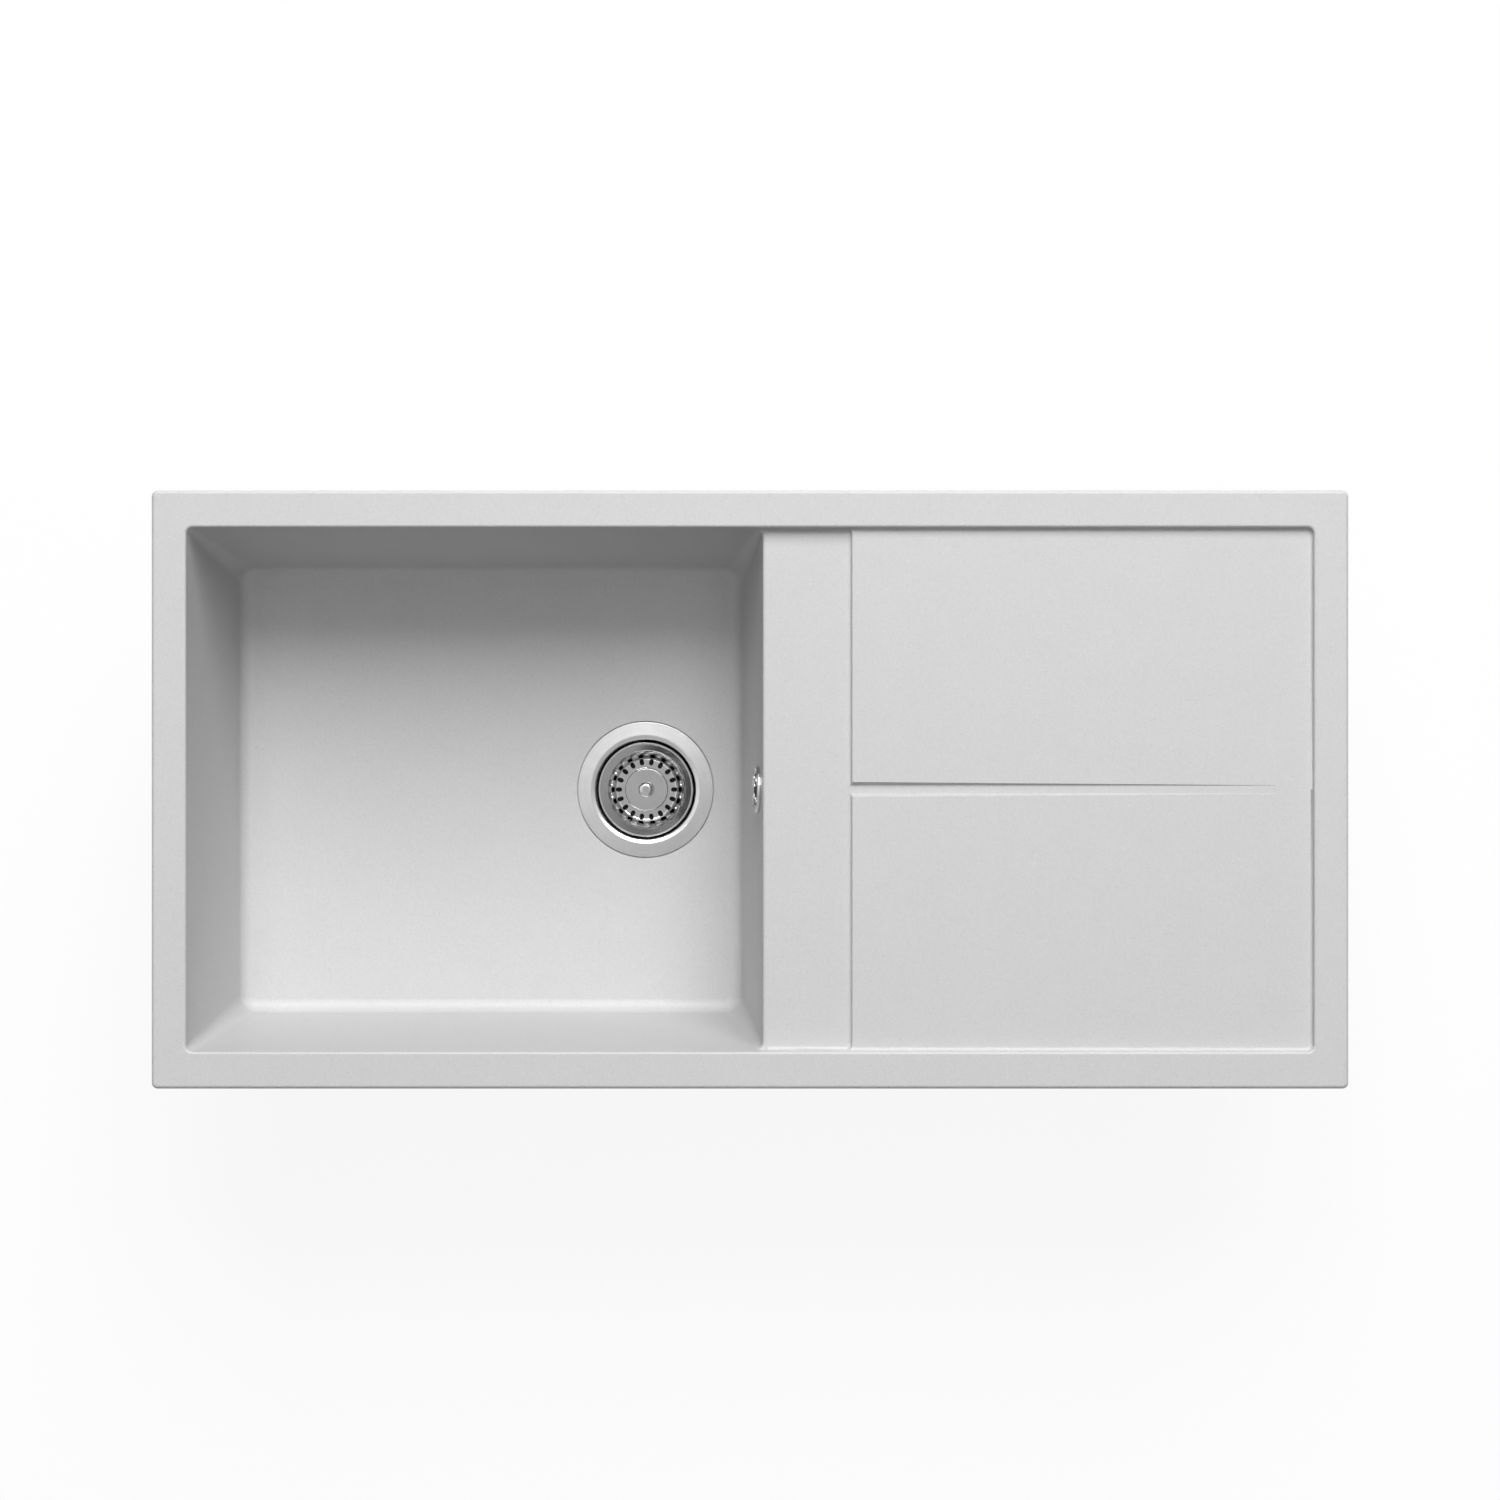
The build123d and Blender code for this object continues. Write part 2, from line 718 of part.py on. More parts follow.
def basket_knob():
    """Turned knob with a waist and a flat top."""
    head_bottom = knob_top - knob_head_height
    bore = stem_top_radius + thread_clearance
    bore_top = knob_top - knob_head_height / 2 + thread_clearance
    knob = turned(
        (bore, knob_bottom, 0),
        (knob_neck_radius + knob_foot_flare, knob_bottom, sheet_edge_radius),
        (knob_neck_radius, knob_bottom + knob_foot_height, knob_waist_rounding),
        (knob_neck_radius, head_bottom, knob_waist_rounding),
        (knob_radius, head_bottom + knob_bevel, knob_edge_rounding),
        (knob_radius, knob_top - knob_bevel, knob_edge_rounding),
        (knob_flat_radius, knob_top, knob_top_rounding),
        (0, knob_top, 0),
        (0, bore_top, 0),
        (bore, bore_top, 0),
    )
    return Pos(drain_x, 0) * knob


def overflow_rosette():
    """Domed cover with a ring of holes and a seat for its screw."""
    seat = rosette_height - overflow_head_height
    seat_radius = overflow_head_radius + seat_gap
    bore = overflow_screw_radius + seat_gap
    under = seat - rosette_skin
    hollow_top = rosette_height - rosette_skin
    cover = turned(
        (rosette_radius, 0, 0),
        (rosette_radius, rosette_edge, rosette_edge_rounding),
        (rosette_crown_radius, rosette_height, rosette_crown_rounding),
        (seat_radius, rosette_height, sheet_edge_radius),
        (seat_radius, seat, 0),
        (bore, seat, 0),
        (bore, under, 0),
        (seat_radius + rosette_skin, under, 0),
        (seat_radius + rosette_skin, hollow_top, sheet_edge_radius),
        (rosette_crown_radius, hollow_top, sheet_edge_radius),
        (rosette_radius - rosette_skin, 0, 0),
    )
    hole = Pos(rosette_hole_circle, 0) * disc(rosette_hole_radius, -overcut, 2 * rosette_height)
    for turn in around(rosette_hole_count):
        cover -= turn * hole
    return overflow_plane * cover


def overflow_screw():
    """Screw from the rosette to the elbow."""
    seat = rosette_height - overflow_head_height
    screw = slotted_head(overflow_head_radius, seat, overflow_head_height)
    return overflow_plane * (screw + disc(overflow_screw_radius, seat - overflow_screw_length, seat))


def overflow_gasket():
    """Ring between the bowl's outside and the elbow's flange."""
    outer = elbow_flange_radius - gasket_inset
    return overflow_plane * ring(outer, overflow_hole_radius + gasket_inset, elbow_face, wall_outside)


def overflow_elbow():
    """Plastic elbow behind the bowl's wall, with a spigot that points down."""
    leg = disc(elbow_flange_radius, elbow_face - elbow_flange_thickness, elbow_face)
    leg += turned(
        (0, elbow_end, 0),
        (elbow_leg_radius, elbow_end, elbow_end_radius),
        (elbow_leg_radius, elbow_face, 0),
        (0, elbow_face, 0),
    )
    elbow = overflow_plane * leg + Pos(hose_x, 0) * disc(spigot_radius, hose_top, overflow_z)
    cap = elbow_end + elbow_wall
    boss_tip = cap + overflow_boss_length
    hollow = disc(elbow_leg_radius - elbow_wall, cap, elbow_face + overcut)
    elbow -= overflow_plane * hollow
    elbow -= Pos(hose_x, 0) * disc(hose_bore_radius, hose_top - overcut, overflow_z)
    boss = disc(overflow_boss_radius, cap - elbow_wall / 2, boss_tip)
    bore = disc(overflow_screw_radius + thread_clearance, cap, boss_tip + overcut)
    return elbow + overflow_plane * boss - overflow_plane * bore


def hose_plane(run):
    """Plane across the hose at a distance along it from the elbow."""
    if run <= hose_drop:
        place = (hose_x, hose_top - run)
        heading = (0.0, -1.0)
    elif run <= hose_drop + hose_arc:
        angle = (run - hose_drop) / hose_bend
        place = (
            hose_x - hose_bend + hose_bend * math.cos(angle),
            hose_top - hose_drop - hose_bend * math.sin(angle),
        )
        heading = (-math.sin(angle), -math.cos(angle))
    else:
        place = (hose_x - hose_bend - (run - hose_drop - hose_arc), spigot_z)
        heading = (-1.0, 0.0)
    return Plane(origin=(place[0], 0, place[1]), x_dir=(0, 1, 0), z_dir=(heading[0], 0, heading[1]))


def overflow_hose():
    """Ribbed hose with smooth ends, from the elbow's spigot to the housing's spigot."""
    smooth = hose_smooth_end
    valley_start, valley_end, crest_start, crest_end = hose_rib_shares
    count = int((hose_length - 2 * smooth) / hose_rib_pitch)
    pitch = (hose_length - 2 * smooth) / count
    stations = [(0.0, spigot_radius), (smooth, spigot_radius)]
    for index in range(count):
        start = smooth + index * pitch
        stations += [
            (start + valley_start * pitch, hose_valley_radius),
            (start + valley_end * pitch, hose_valley_radius),
            (start + crest_start * pitch, hose_crest_radius),
            (start + crest_end * pitch, hose_crest_radius),
        ]
    stations += [(hose_length - smooth + valley_start * pitch, spigot_radius), (hose_length, spigot_radius)]
    outside = loft([hose_plane(run) * Circle(radius) for run, radius in stations], ruled=True)
    first, bend_start, bend_end, last = [
        hose_plane(run).origin for run in (0, hose_drop, hose_drop + hose_arc, hose_length)
    ]
    bend_middle = hose_plane(hose_drop + hose_arc / 2).origin
    bend = ThreePointArc(bend_start, bend_middle, bend_end)
    path = Wire([Line(first, bend_start), bend, Line(bend_end, last)])
    return outside - sweep(hose_plane(0) * Circle(hose_bore_radius), path=path)


def hose_nut(run):
    """Fluted ring nut over a spigot and the hose's smooth end."""
    half = hose_nut_length / 2
    nut = turned(
        (hose_nut_radius, -half, hose_nut_edge_radius),
        (hose_nut_radius, half, hose_nut_edge_radius),
        (spigot_radius + seal_clearance, half, 0),
        (spigot_radius + seal_clearance, -half, 0),
    )
    flute = Pos(hose_nut_radius, 0) * disc(hose_nut_grip_radius, -hose_nut_length, hose_nut_length)
    for turn in around(hose_nut_grip_count):
        nut -= turn * flute
    return hose_plane(run) * nut


def clip_dowels():
    """Plugs in the body that the clip screws bite into."""
    bore = clip_screw_radius + thread_clearance
    low = clip_boss_bottom
    plug = ring(dowel_radius - thread_clearance, bore, low, low + dowel_length)
    return Compound([Pos(x, side * clip_y) * plug for name, x, side in clip_places()])


def clip_screw(x, side):
    """Screw with its head below the claw."""
    head = Rot(180, 0, 0) * slotted_head(clip_head_radius, -clip_head_top, clip_head_height)
    shank = disc(clip_screw_radius, clip_head_top, clip_boss_bottom + clip_screw_grip)
    return Pos(x, side * clip_y) * (head + shank)


def clip_claw(x, side):
    """Bent strip with teeth at its end, lying along the rim until it is swung out."""
    bend = claw_arm - claw_bend_run
    tip = claw_bottom + claw_tooth_rise
    outline = Polyline(
        (0, claw_bottom),
        (bend, claw_bottom),
        (claw_arm, tip),
        (claw_arm, tip + claw_tooth_height),
        (bend - claw_thickness / 4, claw_top),
        (0, claw_top),
        close=True,
    )
    claw = extrude(Plane.XZ * make_face(outline), claw_width / 2, both=True)
    claw += disc(claw_width / 2, claw_bottom, claw_top)
    claw -= disc(clip_screw_radius + claw_hole_clearance, claw_bottom - overcut, claw_top + overcut)
    half_notch = claw_tooth_notch / 2
    for y in (-claw_width / 5, claw_width / 5):
        low = tip + claw_thickness / 2
        claw -= block(bend, claw_arm + overcut, y - half_notch, y + half_notch, low, low + 2 * overcut)
    return Pos(x, side * clip_y) * claw


parts = {
    "sink_body": sink_body(),
    "rim_seal": rim_seal(),
    "strainer_cup": strainer_cup(),
    "flange_gasket": flange_gasket(),
    "lower_gasket": lower_gasket(),
    "waste_housing": waste_housing(),
    "clamp_insert": clamp_insert(),
    "clamp_screw": clamp_screw(),
    "basket_cup": basket_cup(),
    "basket_stem": basket_stem(),
    "basket_stopper": basket_stopper(),
    "stem_nut": stem_nut(),
    "basket_knob": basket_knob(),
    "overflow_rosette": overflow_rosette(),
    "overflow_screw": overflow_screw(),
    "overflow_gasket": overflow_gasket(),
    "overflow_elbow": overflow_elbow(),
    "overflow_hose": overflow_hose(),
    "hose_nut_upper": hose_nut(0),
    "hose_nut_lower": hose_nut(hose_length),
    "clip_dowels": clip_dowels(),
}
for name, x, side in clip_places():
    parts[f"clip_screw_{name}"] = clip_screw(x, side)
    parts[f"clip_claw_{name}"] = clip_claw(x, side)

os.makedirs("parts", exist_ok=True)
for name, shape in parts.items():
    export_step(shape, f"parts/{name}.step")
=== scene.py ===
import bpy
import json
import math
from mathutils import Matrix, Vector


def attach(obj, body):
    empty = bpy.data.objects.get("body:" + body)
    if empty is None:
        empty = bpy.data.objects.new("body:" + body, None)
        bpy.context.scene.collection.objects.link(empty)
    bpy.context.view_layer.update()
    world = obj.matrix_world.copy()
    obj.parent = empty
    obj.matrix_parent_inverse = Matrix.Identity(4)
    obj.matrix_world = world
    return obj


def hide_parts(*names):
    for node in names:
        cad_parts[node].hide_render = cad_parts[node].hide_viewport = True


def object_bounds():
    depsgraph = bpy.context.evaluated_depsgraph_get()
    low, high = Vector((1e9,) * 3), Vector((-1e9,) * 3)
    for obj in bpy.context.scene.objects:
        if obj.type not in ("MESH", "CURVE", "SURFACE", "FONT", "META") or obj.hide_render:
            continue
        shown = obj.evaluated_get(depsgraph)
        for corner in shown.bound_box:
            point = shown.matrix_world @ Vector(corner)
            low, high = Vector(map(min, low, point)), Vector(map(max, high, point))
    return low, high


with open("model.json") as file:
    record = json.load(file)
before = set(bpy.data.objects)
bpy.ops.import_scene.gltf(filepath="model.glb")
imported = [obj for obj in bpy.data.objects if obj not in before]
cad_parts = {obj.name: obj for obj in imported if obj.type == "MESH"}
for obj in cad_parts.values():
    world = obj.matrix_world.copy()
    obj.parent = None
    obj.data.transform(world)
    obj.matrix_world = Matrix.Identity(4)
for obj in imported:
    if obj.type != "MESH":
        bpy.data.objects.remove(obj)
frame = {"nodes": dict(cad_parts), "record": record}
cad_low, cad_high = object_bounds()
nodes = frame["nodes"]

# Sizes are in metres, in the part's own frame: the worktop's surface is Z = 0 and the drainer points to +X.

# Camera straight above the sink, which lies below the middle of the picture by a share of the picture's width
rim_top = cad_high.z
camera_height = 3.10
view_width = 1.2526
view_drop = 39.5 / 1500


def node_box(name):
    """Lowest and highest corner of a node."""
    piece = nodes[name]
    corners = [piece.matrix_world @ Vector(corner) for corner in piece.bound_box]
    low = Vector([min(corner[axis] for corner in corners) for axis in range(3)])
    high = Vector([max(corner[axis] for corner in corners) for axis in range(3)])
    return low, high


# Strainer's axis, which the turned steel is brushed around
strainer_low, strainer_high = node_box("strainer_cup")
drain_centre = (strainer_low + strainer_high) / 2

# Ribbed hose, from the elbow's spigot down and round to the housing's spigot
hose_low, hose_high = node_box("overflow_hose")
hose_crest_radius = (hose_high.y - hose_low.y) / 2
hose_valley_radius = 0.0103
hose_end_radius = 0.011
hose_bore_radius = 0.0085
hose_smooth_end = 2 * hose_crest_radius
hose_x = hose_high.x - hose_crest_radius
hose_top = hose_high.z
hose_bend = hose_x - hose_low.x - hose_smooth_end
hose_drop = hose_top - (hose_low.z + hose_crest_radius) - hose_bend
hose_rib_count = 35
rib_rings = 12
hose_sides = 48

# Granite: its general tone, the tone of its speckle from the darkest to the palest grains, and its matte skin
granite_level = 0.55
speckle = ((0.0, 0.93), (0.12, 0.98), (0.55, 1.0), (0.92, 1.015), (1.0, 1.06))
granite_grain = 0.0011
granite_cloud = 0.035
granite_cloud_tone = 0.985
granite_gloss_patch = 0.004
granite_roughness = (0.40, 0.50)
granite_shine = 0.4
granite_pit = 0.0012
granite_pit_depth = 0.00006

# Steel: how far its turning lines and smears shift the tone, and the size of its smears and gloss patches
steel_line_tones = (0.93, 1.05)
steel_smear_tone = 0.94
steel_smear = 0.018
steel_gloss_patch = 0.006

# Zinc plating: a cold spangle under a dull bloom
spangle_colours = ((0.0, (0.46, 0.48, 0.50)), (0.5, (0.55, 0.57, 0.59)), (1.0, (0.62, 0.63, 0.64)))
spangle_size = 0.0022
zinc_bloom = 0.006
zinc_bloom_tone = 0.80
zinc_gloss_patch = 0.003
zinc_roughness = (0.28, 0.48)
zinc_grain = 0.0009
zinc_grain_height = 0.00004

# Brass: tarnished patches between bright ones
brass_dark = (0.52, 0.38, 0.16)
brass_bright = (0.74, 0.57, 0.26)
brass_tarnish = 0.005
brass_gloss_patch = 0.002
brass_roughness = (0.22, 0.42)
brass_line = 0.0004
brass_line_height = 0.00003

# Plastic and rubber: patches of tone and of gloss
moulded_patch = 0.012
moulded_gloss_patch = 0.004

# Floor, and the surroundings: a low sky for light, and levels that only metal mirrors
floor_gap = 0.0005
floor_size = 30.0
floor_tone = 0.85
floor_glow = 0.9
sky_level = 0.08
mirror_front = 0.60
mirror_rear = 1.10
mirror_fade = 0.25
mirror_bright_side = (-0.30, 0.95, 0.0)
mirror_overhead = 0.66
overhead_inner = math.cos(math.radians(3.0))
overhead_outer = math.cos(math.radians(10.0))

# Soft lamps: a key above the rear, and a fill overhead that metal does not mirror
light_aim = (-0.05, 0.0, -0.05)
key_place = (0.45, 4.0, 4.6)
key_size = 4.2
key_power = 470.0
fill_place = (0.0, 0.10, 3.60)
fill_size = 2.5
fill_power = 33.0


def empty_material(name):
    """A material with only its output."""
    material = bpy.data.materials.new(name)
    material.use_nodes = True
    tree = material.node_tree
    tree.nodes.clear()
    return material, tree, tree.nodes.new("ShaderNodeOutputMaterial")


def new_material(name):
    """A material with its shader and output."""
    material, tree, output = empty_material(name)
    shader = tree.nodes.new("ShaderNodeBsdfPrincipled")
    tree.links.new(shader.outputs["BSDF"], output.inputs["Surface"])
    return material, tree, shader


def place(tree, centre=(0.0, 0.0, 0.0)):
    """Position on the object, measured from a centre."""
    coords = tree.nodes.new("ShaderNodeTexCoord")
    shift = tree.nodes.new("ShaderNodeMapping")
    shift.inputs["Location"].default_value = tuple(-value for value in centre)
    tree.links.new(coords.outputs["Object"], shift.inputs["Vector"])
    return shift.outputs["Vector"]


def round_place(tree, centre):
    """Radius and height about a vertical axis, for marks left by turning, and the plain position."""
    split = tree.nodes.new("ShaderNodeSeparateXYZ")
    vector = place(tree, centre)
    tree.links.new(vector, split.inputs["Vector"])
    flat = tree.nodes.new("ShaderNodeCombineXYZ")
    tree.links.new(split.outputs["X"], flat.inputs["X"])
    tree.links.new(split.outputs["Y"], flat.inputs["Y"])
    radius = tree.nodes.new("ShaderNodeVectorMath")
    radius.operation = "LENGTH"
    tree.links.new(flat.outputs["Vector"], radius.inputs["Vector"])
    joined = tree.nodes.new("ShaderNodeCombineXYZ")
    tree.links.new(radius.outputs["Value"], joined.inputs["X"])
    tree.links.new(split.outputs["Z"], joined.inputs["Z"])
    return joined.outputs["Vector"], vector


def noise(tree, vector, size, detail=3.0, roughness=0.5):
    """Grain whose lumps have about the given size."""
    node = tree.nodes.new("ShaderNodeTexNoise")
    node.inputs["Scale"].default_value = 1.0 / size
    node.inputs["Detail"].default_value = detail
    node.inputs["Roughness"].default_value = roughness
    tree.links.new(vector, node.inputs["Vector"])
    return node.outputs["Fac"]


def specks(tree, vector, size):
    """Random level for each of many small cells."""
    node = tree.nodes.new("ShaderNodeTexVoronoi")
    node.inputs["Scale"].default_value = 1.0 / size
    tree.links.new(vector, node.inputs["Vector"])
    split = tree.nodes.new("ShaderNodeSeparateColor")
    tree.links.new(node.outputs["Color"], split.inputs["Color"])
    return split.outputs["Red"]


def ramp(tree, level, stops):
    """Colours along a level, from pairs of place and colour."""
    node = tree.nodes.new("ShaderNodeValToRGB")
    elements = node.color_ramp.elements
    while len(elements) < len(stops):
        elements.new(0.5)
    for element, (where, colour) in zip(elements, stops):
        element.position = where
        element.color = (*colour, 1.0)
    tree.links.new(level, node.inputs["Fac"])
    return node.outputs["Color"]


def mottle(tree, level, dark, pale, edge=0.3):
    """Two colours that meet over the middle of a level."""
    return ramp(tree, level, [(edge, dark), (1.0 - edge, pale)])


def span(tree, level, low, high, start=0.0, end=1.0):
    """A level between a start and an end, spread over another range."""
    node = tree.nodes.new("ShaderNodeMapRange")
    node.inputs["From Min"].default_value = start
    node.inputs["From Max"].default_value = end
    node.inputs["To Min"].default_value = low
    node.inputs["To Max"].default_value = high
    tree.links.new(level, node.inputs["Value"])
    return node.outputs["Result"]


def tint(tree, shader, tone, shade):
    """Base colour from a tone that is darkened by a shade."""
    node = tree.nodes.new("ShaderNodeMix")
    node.data_type = "RGBA"
    node.blend_type = "MULTIPLY"
    node.inputs["Factor"].default_value = 1.0
    tree.links.new(tone, node.inputs["A"])
    tree.links.new(shade, node.inputs["B"])
    tree.links.new(node.outputs["Result"], shader.inputs["Base Color"])


def uneven_gloss(tree, shader, vector, patch, low, high):
    """Roughness that wanders between two values, over patches of a size."""
    tree.links.new(span(tree, noise(tree, vector, patch), low, high), shader.inputs["Roughness"])


def bump(tree, shader, level, height):
    """Surface relief from a level."""
    node = tree.nodes.new("ShaderNodeBump")
    node.inputs["Distance"].default_value = height
    tree.links.new(level, node.inputs["Height"])
    tree.links.new(node.outputs["Normal"], shader.inputs["Normal"])


def grey(level):
    """Neutral colour."""
    return (level, level, level)


def granite():
    """Pale moulded composite: a fine speckle of quartz grains, and a matte, faintly pitted skin."""
    material, tree, shader = new_material("granite_composite")
    where = place(tree)
    tones = [(at, grey(granite_level * tone)) for at, tone in speckle]
    grains = ramp(tree, specks(tree, where, granite_grain), tones)
    cloud = mottle(tree, noise(tree, where, granite_cloud, detail=4.0), grey(granite_cloud_tone), grey(1.0))
    tint(tree, shader, grains, cloud)
    uneven_gloss(tree, shader, where, granite_gloss_patch, *granite_roughness)
    shader.inputs["Specular IOR Level"].default_value = granite_shine
    bump(tree, shader, noise(tree, where, granite_pit, detail=4.0, roughness=0.6), granite_pit_depth)
    return material


def steel(name, level, roughness, line, line_height):
    """Turned or drawn stainless steel, with fine lines around the strainer's axis and faint smears."""
    material, tree, shader = new_material(name)
    turned, where = round_place(tree, drain_centre)
    lines = noise(tree, turned, line, detail=2.0)
    dark, pale = [grey(level * tone) for tone in steel_line_tones]
    tone = mottle(tree, lines, dark, pale, edge=0.25)
    smears = noise(tree, where, steel_smear, detail=4.0)
    tint(tree, shader, tone, mottle(tree, smears, grey(steel_smear_tone), grey(1.0), edge=0.35))
    shader.inputs["Metallic"].default_value = 1.0
    uneven_gloss(tree, shader, where, steel_gloss_patch, *roughness)
    bump(tree, shader, lines, line_height)
    return material


def zinc():
    """Zinc-plated steel: a blotchy spangle with a cold tint."""
    material, tree, shader = new_material("zinc_plated_steel")
    where = place(tree)
    spangle = ramp(tree, specks(tree, where, spangle_size), spangle_colours)
    bloom = mottle(tree, noise(tree, where, zinc_bloom, detail=4.0), grey(zinc_bloom_tone), grey(1.0))
    tint(tree, shader, spangle, bloom)
    shader.inputs["Metallic"].default_value = 1.0
    uneven_gloss(tree, shader, where, zinc_gloss_patch, *zinc_roughness)
    bump(tree, shader, noise(tree, where, zinc_grain), zinc_grain_height)
    return material


def brass():
    """Turned brass, slightly tarnished."""
    material, tree, shader = new_material("turned_brass")
    turned, where = round_place(tree, drain_centre)
    tarnish = mottle(tree, noise(tree, where, brass_tarnish, detail=4.0), brass_dark, brass_bright)
    tree.links.new(tarnish, shader.inputs["Base Color"])
    shader.inputs["Metallic"].default_value = 1.0
    uneven_gloss(tree, shader, where, brass_gloss_patch, *brass_roughness)
    bump(tree, shader, noise(tree, turned, brass_line, detail=2.0), brass_line_height)
    return material


def moulded(name, colour, vary, roughness, grain, grain_height):
    """Moulded plastic or rubber: uneven tone, uneven gloss and a fine skin."""
    material, tree, shader = new_material(name)
    where = place(tree)
    dark = tuple(value * (1.0 - vary) for value in colour)
    tone = mottle(tree, noise(tree, where, moulded_patch, detail=5.0, roughness=0.6), dark, colour)
    tree.links.new(tone, shader.inputs["Base Color"])
    uneven_gloss(tree, shader, where, moulded_gloss_patch, *roughness)
    bump(tree, shader, noise(tree, where, grain), grain_height)
    return material


def hose_place(run):
    """Point on the hose's centre line, and its heading, at a distance from the elbow."""
    arc = hose_bend * math.pi / 2
    if run <= hose_drop:
        return Vector((hose_x, 0, hose_top - run)), Vector((0, 0, -1))
    if run <= hose_drop + arc:
        angle = (run - hose_drop) / hose_bend
        x = hose_x - hose_bend + hose_bend * math.cos(angle)
        z = hose_top - hose_drop - hose_bend * math.sin(angle)
        return Vector((x, 0, z)), Vector((-math.sin(angle), 0, -math.cos(angle)))
    x = hose_x - hose_bend - (run - hose_drop - arc)
    return Vector((x, 0, hose_top - hose_drop - hose_bend)), Vector((-1, 0, 0))


def hose_rings():
    """Pairs of run and radius down the outside of the hose, with rounded ribs between smooth ends."""
    length = hose_drop + hose_bend * math.pi / 2 + hose_smooth_end
    ribbed = length - 2 * hose_smooth_end
    rings = [(0.0, hose_end_radius), (hose_smooth_end, hose_end_radius)]
    steps = hose_rib_count * rib_rings
    for index in range(1, steps):
        wave = 0.5 - 0.5 * math.cos(2 * math.pi * index / rib_rings)
        rounded = wave * wave * (3 - 2 * wave)
        radius = hose_valley_radius + (hose_crest_radius - hose_valley_radius) * rounded
        rings.append((hose_smooth_end + ribbed * index / steps, radius))
    return rings + [(length - hose_smooth_end, hose_end_radius), (length, hose_end_radius)]


def ribbed_hose():
    """The hose as one closed mesh: ribs outside, a plain bore inside and a rim at each end."""
    outside = hose_rings()
    rings = outside + [(run, hose_bore_radius) for run, radius in reversed(outside)]
    across = Vector((0, 1, 0))
    points = []
    for run, radius in rings:
        middle, heading = hose_place(run)
        side = heading.cross(across)
        for index in range(hose_sides):
            turn = 2 * math.pi * index / hose_sides
            points.append(middle + radius * (math.cos(turn) * across + math.sin(turn) * side))
    faces = []
    for ring in range(len(rings)):
        start = ring * hose_sides
        after = (ring + 1) % len(rings) * hose_sides
        for index in range(hose_sides):
            beside = (index + 1) % hose_sides
            faces.append((start + index, start + beside, after + beside, after + index))
    mesh = bpy.data.meshes.new("ribbed_hose")
    mesh.from_pydata(points, [], faces)
    mesh.shade_smooth()
    hose = bpy.data.objects.new("ribbed_hose", mesh)
    bpy.context.scene.collection.objects.link(hose)
    return hose


def joined_level(tree, first, second, operation):
    """Two levels joined by an operation such as MAXIMUM or MULTIPLY."""
    node = tree.nodes.new("ShaderNodeMath")
    node.operation = operation
    tree.links.new(first, node.inputs[0])
    tree.links.new(second, node.inputs[1])
    return node.outputs[0]


def mirror_ray(tree, path):
    """1 for a ray that leaves a shiny or clear surface."""
    return joined_level(tree, path.outputs["Is Glossy Ray"], path.outputs["Is Transmission Ray"], "MAXIMUM")


def choose(tree, switch, off, on):
    """One of two levels, each a number or a socket, picked by a switch of 0 or 1."""
    node = tree.nodes.new("ShaderNodeMix")
    tree.links.new(switch, node.inputs["Factor"])
    for value, socket in ((off, node.inputs["A"]), (on, node.inputs["B"])):
        if isinstance(value, float):
            socket.default_value = value
        else:
            tree.links.new(value, socket)
    return node.outputs["Result"]


def mirrored_room(tree):
    """Level that metal mirrors: brighter towards the rear, and darker straight overhead."""
    coords = tree.nodes.new("ShaderNodeTexCoord")
    facing = tree.nodes.new("ShaderNodeVectorMath")
    facing.operation = "DOT_PRODUCT"
    facing.inputs[1].default_value = mirror_bright_side
    tree.links.new(coords.outputs["Generated"], facing.inputs[0])
    graded = span(tree, facing.outputs["Value"], mirror_front, mirror_rear, -mirror_fade, mirror_fade)
    split = tree.nodes.new("ShaderNodeSeparateXYZ")
    tree.links.new(coords.outputs["Generated"], split.inputs["Vector"])
    overhead = span(tree, split.outputs["Z"], 1.0, mirror_overhead, overhead_outer, overhead_inner)
    return joined_level(tree, graded, overhead, "MULTIPLY")


def set_world():
    """White surroundings for the eye, soft light on the object, and a graded white for metal to mirror."""
    world = bpy.data.worlds.new("studio")
    bpy.context.scene.world = world
    world.use_nodes = True
    tree = world.node_tree
    tree.nodes.clear()
    output = tree.nodes.new("ShaderNodeOutputWorld")
    sky = tree.nodes.new("ShaderNodeBackground")
    sky.inputs["Color"].default_value = (1.0, 1.0, 1.0, 1.0)
    path = tree.nodes.new("ShaderNodeLightPath")
    seen_in_metal = choose(tree, mirror_ray(tree, path), sky_level, mirrored_room(tree))
    strength = choose(tree, path.outputs["Is Camera Ray"], seen_in_metal, 1.0)
    tree.links.new(strength, sky.inputs["Strength"])
    tree.links.new(sky.outputs["Background"], output.inputs["Surface"])


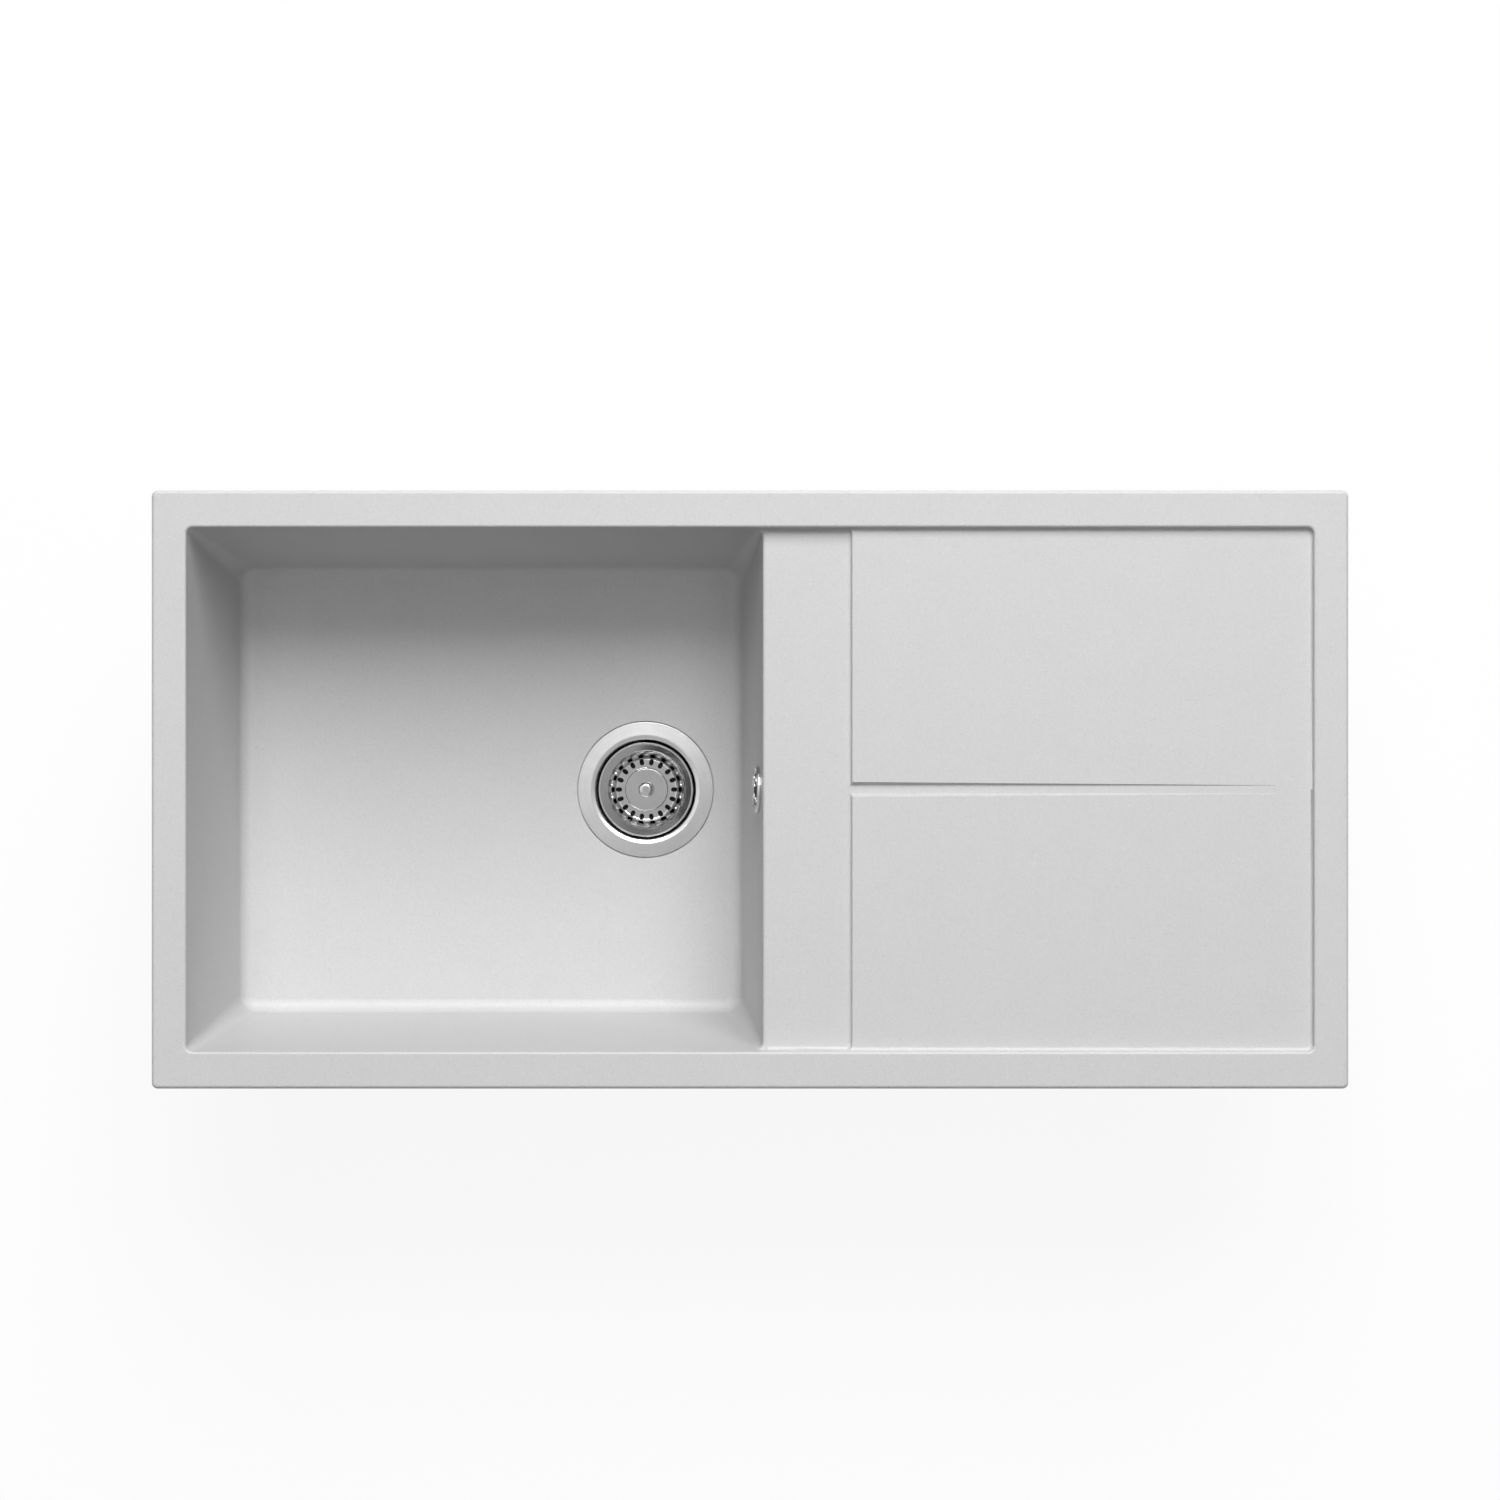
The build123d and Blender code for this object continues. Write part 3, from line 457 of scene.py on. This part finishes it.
def floor_material():
    """Pale floor that reads as white, keeps a faint shadow and is clear from below."""
    material, tree, output = empty_material("pale_floor")
    matte = tree.nodes.new("ShaderNodeBsdfDiffuse")
    matte.inputs["Color"].default_value = (*grey(floor_tone), 1.0)
    white = tree.nodes.new("ShaderNodeEmission")
    path = tree.nodes.new("ShaderNodeLightPath")
    seen = joined_level(tree, path.outputs["Is Camera Ray"], mirror_ray(tree, path), "MAXIMUM")
    blend = tree.nodes.new("ShaderNodeMixShader")
    tree.links.new(span(tree, seen, 0.0, floor_glow), blend.inputs["Fac"])
    tree.links.new(matte.outputs["BSDF"], blend.inputs[1])
    tree.links.new(white.outputs["Emission"], blend.inputs[2])
    clear = tree.nodes.new("ShaderNodeBsdfTransparent")
    side = tree.nodes.new("ShaderNodeNewGeometry")
    sheet = tree.nodes.new("ShaderNodeMixShader")
    tree.links.new(side.outputs["Backfacing"], sheet.inputs["Fac"])
    tree.links.new(blend.outputs["Shader"], sheet.inputs[1])
    tree.links.new(clear.outputs["BSDF"], sheet.inputs[2])
    tree.links.new(sheet.outputs["Shader"], output.inputs["Surface"])
    return material


def make_floor():
    """Plain floor under the lowest point of the waste."""
    half = floor_size / 2
    level = cad_low.z - floor_gap
    mesh = bpy.data.meshes.new("floor")
    corners = [(-half, -half, level), (half, -half, level), (half, half, level), (-half, half, level)]
    mesh.from_pydata(corners, [], [(0, 1, 2, 3)])
    mesh.materials.append(floor_material())
    floor = bpy.data.objects.new("floor", mesh)
    bpy.context.scene.collection.objects.link(floor)


def make_light(name, where, size, power):
    """Square soft light that faces the sink."""
    data = bpy.data.lights.new(name, "AREA")
    data.shape = "SQUARE"
    data.size = size
    data.energy = power
    lamp = bpy.data.objects.new(name, data)
    lamp.location = where
    lamp.rotation_mode = "QUATERNION"
    lamp.rotation_quaternion = (Vector(light_aim) - Vector(where)).to_track_quat("-Z", "Y")
    lamp.visible_camera = False
    bpy.context.scene.collection.objects.link(lamp)
    return lamp


def make_camera():
    """Camera that looks straight down from above the middle of the sink."""
    data = bpy.data.cameras.new("camera")
    data.lens = data.sensor_width * camera_height / view_width
    data.shift_y = view_drop
    camera = bpy.data.objects.new("camera", data)
    camera.location = (0, 0, rim_top + camera_height)
    bpy.context.scene.collection.objects.link(camera)
    bpy.context.scene.camera = camera


# Steel takes a tone, a roughness range, and the width and height of its lines.
# Plastic and rubber take a colour, its spread, a roughness range, and the size and height of their grain.
materials = {
    "granite": granite(),
    "brushed_steel": steel("satin_steel", 0.68, (0.15, 0.21), 0.0006, 0.000008),
    "polished_steel": steel("polished_steel", 0.64, (0.05, 0.10), 0.0008, 0.000003),
    "plain_steel": steel("plain_steel", 0.55, (0.24, 0.36), 0.0005, 0.00002),
    "zinc_steel": zinc(),
    "rubber": moulded("black_rubber", (0.030, 0.030, 0.031), 0.35, (0.55, 0.75), 0.0006, 0.00005),
    "white_plastic": moulded("white_polypropylene", (0.78, 0.78, 0.76), 0.05, (0.36, 0.50), 0.0008, 0.00003),
    "hose_plastic": moulded("hose_plastic", (0.56, 0.57, 0.58), 0.08, (0.38, 0.55), 0.0007, 0.00004),
    "dowel_plastic": moulded("dowel_nylon", (0.25, 0.26, 0.27), 0.15, (0.40, 0.60), 0.0006, 0.00003),
    "brass": brass(),
}
for subpart in frame["record"]["subparts"]:
    mesh = nodes[subpart["node"]].data
    mesh.materials.clear()
    mesh.materials.append(materials[subpart["material_slot"]])

hose = ribbed_hose()
hose.data.materials.append(materials["hose_plastic"])
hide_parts("overflow_hose")
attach(hose, "sink")

make_floor()
make_light("key", key_place, key_size, key_power)
fill = make_light("fill", fill_place, fill_size, fill_power)
fill.visible_glossy = False
set_world()
make_camera()
bpy.context.scene.view_settings.view_transform = "Standard"
